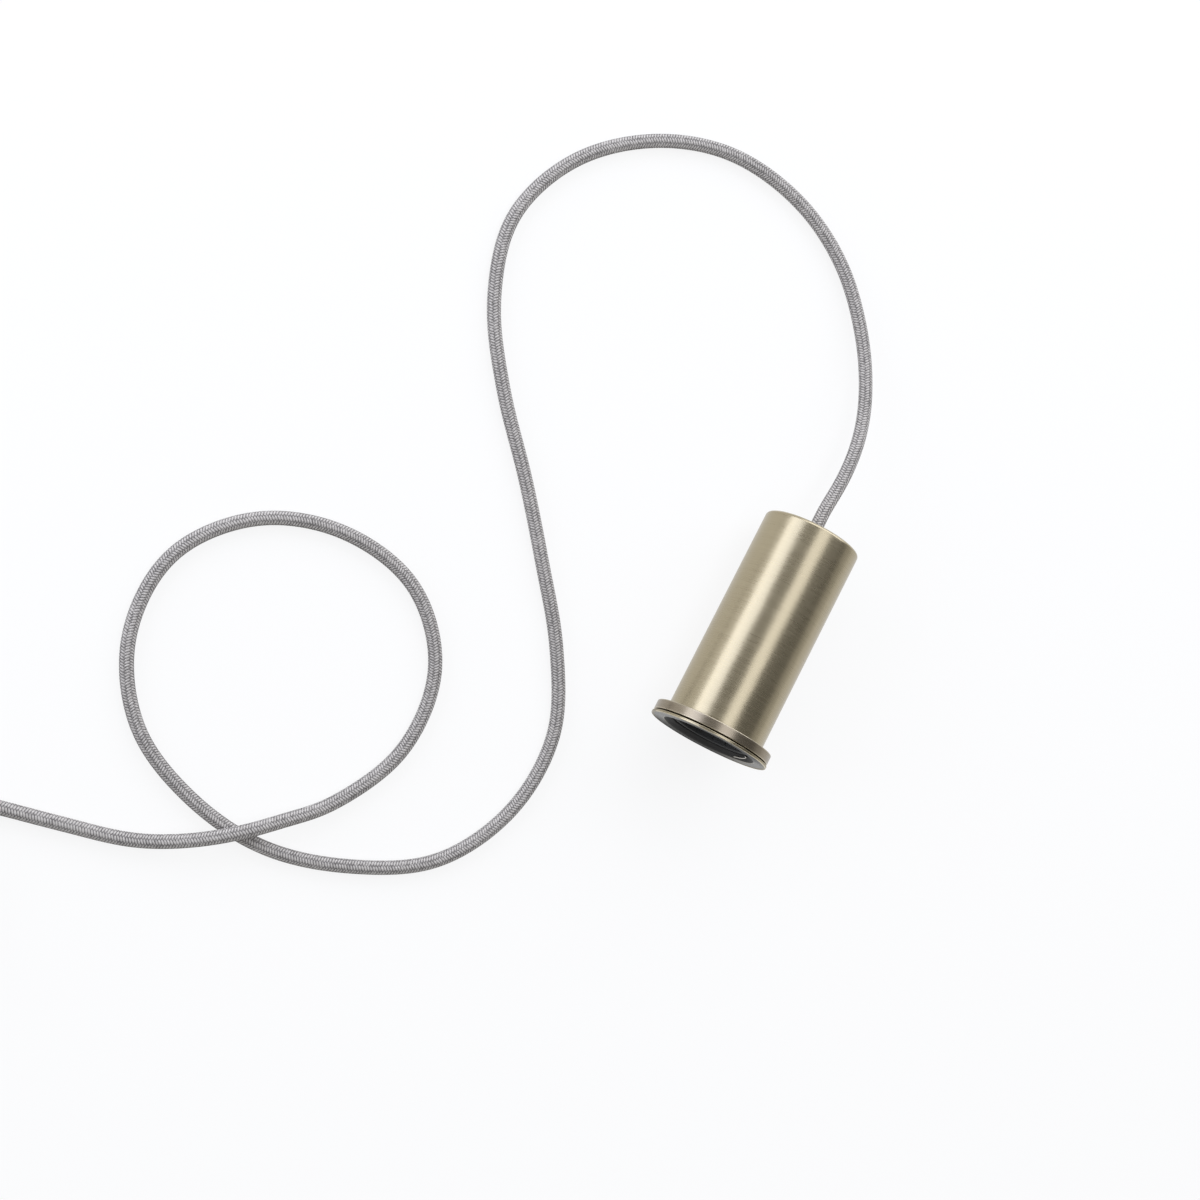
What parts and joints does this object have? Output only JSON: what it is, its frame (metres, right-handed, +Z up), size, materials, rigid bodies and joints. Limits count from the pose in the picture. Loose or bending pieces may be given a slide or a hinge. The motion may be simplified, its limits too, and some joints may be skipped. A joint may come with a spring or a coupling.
{
  "type": "pendant cord set",
  "caption": "Brushed brass lamp holder cup with a flange and a screw-on shade ring, an E27 lamp holder inside, and a grey braided mains cord with a bare wired end.",
  "frame": {"origin": "on the floor under the middle of the lying pendant", "axes": "+Z up; +Y along the pendant from its opening to its closed end, seen from above; +X to the right of that"},
  "size_m": [0.3802, 0.5698, 0.0579],
  "materials": {
    "satin_brass": "antique brass, brushed round the circumference, satin",
    "black_moulding": "black moulded plastic, satin",
    "pale_moulding": "pale moulded plastic",
    "nickel": "nickel-plated rolled sheet",
    "bright_brass": "plain turned brass",
    "zinc_steel": "zinc-plated steel",
    "braid": "grey textile braid over a round flexible cord",
    "strap": "black woven strap",
    "brown_insulation": "brown core insulation",
    "blue_insulation": "blue core insulation",
    "earth_insulation": "green and yellow core insulation",
    "ferrule": "moulded collar on a tinned pin"
  },
  "bodies": {
    "pendant": {"housing": "satin_brass", "lampholder_skirt": "black_moulding", "lampholder_cap": "black_moulding", "contact_block": "pale_moulding", "screw_shell": "nickel", "centre_contact": "bright_brass", "live_rivet": "bright_brass", "neutral_rivet": "bright_brass", "live_terminal": "bright_brass", "neutral_terminal": "bright_brass", "live_terminal_screw": "zinc_steel", "neutral_terminal_screw": "zinc_steel", "thread_insert": "bright_brass", "earth_lug": "zinc_steel", "earth_screw": "zinc_steel", "nipple": "zinc_steel", "cap_washer": "zinc_steel", "lock_nut": "zinc_steel", "cord_grip": "pale_moulding", "grip_jaw": "pale_moulding", "grip_screw": "zinc_steel", "top_washer": "zinc_steel", "cord_bush": "black_moulding", "inner_cord": "braid", "live_core": "brown_insulation", "neutral_core": "blue_insulation", "earth_core": "earth_insulation", "cord": "braid", "cord_coil": "braid", "cord_tail": "braid", "cord_tie": "strap", "end_sleeve": "black_moulding", "tail_live": "brown_insulation", "tail_neutral": "blue_insulation", "tail_earth": "earth_insulation", "live_ferrule": "ferrule", "neutral_ferrule": "ferrule", "earth_ferrule": "ferrule"},
    "ring": {"shade_ring": "satin_brass"}
  },
  "joints": [
    {"name": "ring_off", "type": "slide", "parent": "pendant", "child": "ring", "axis": [0, -0.9986, 0.052], "range_m": [0, 0.012]}
  ]
}
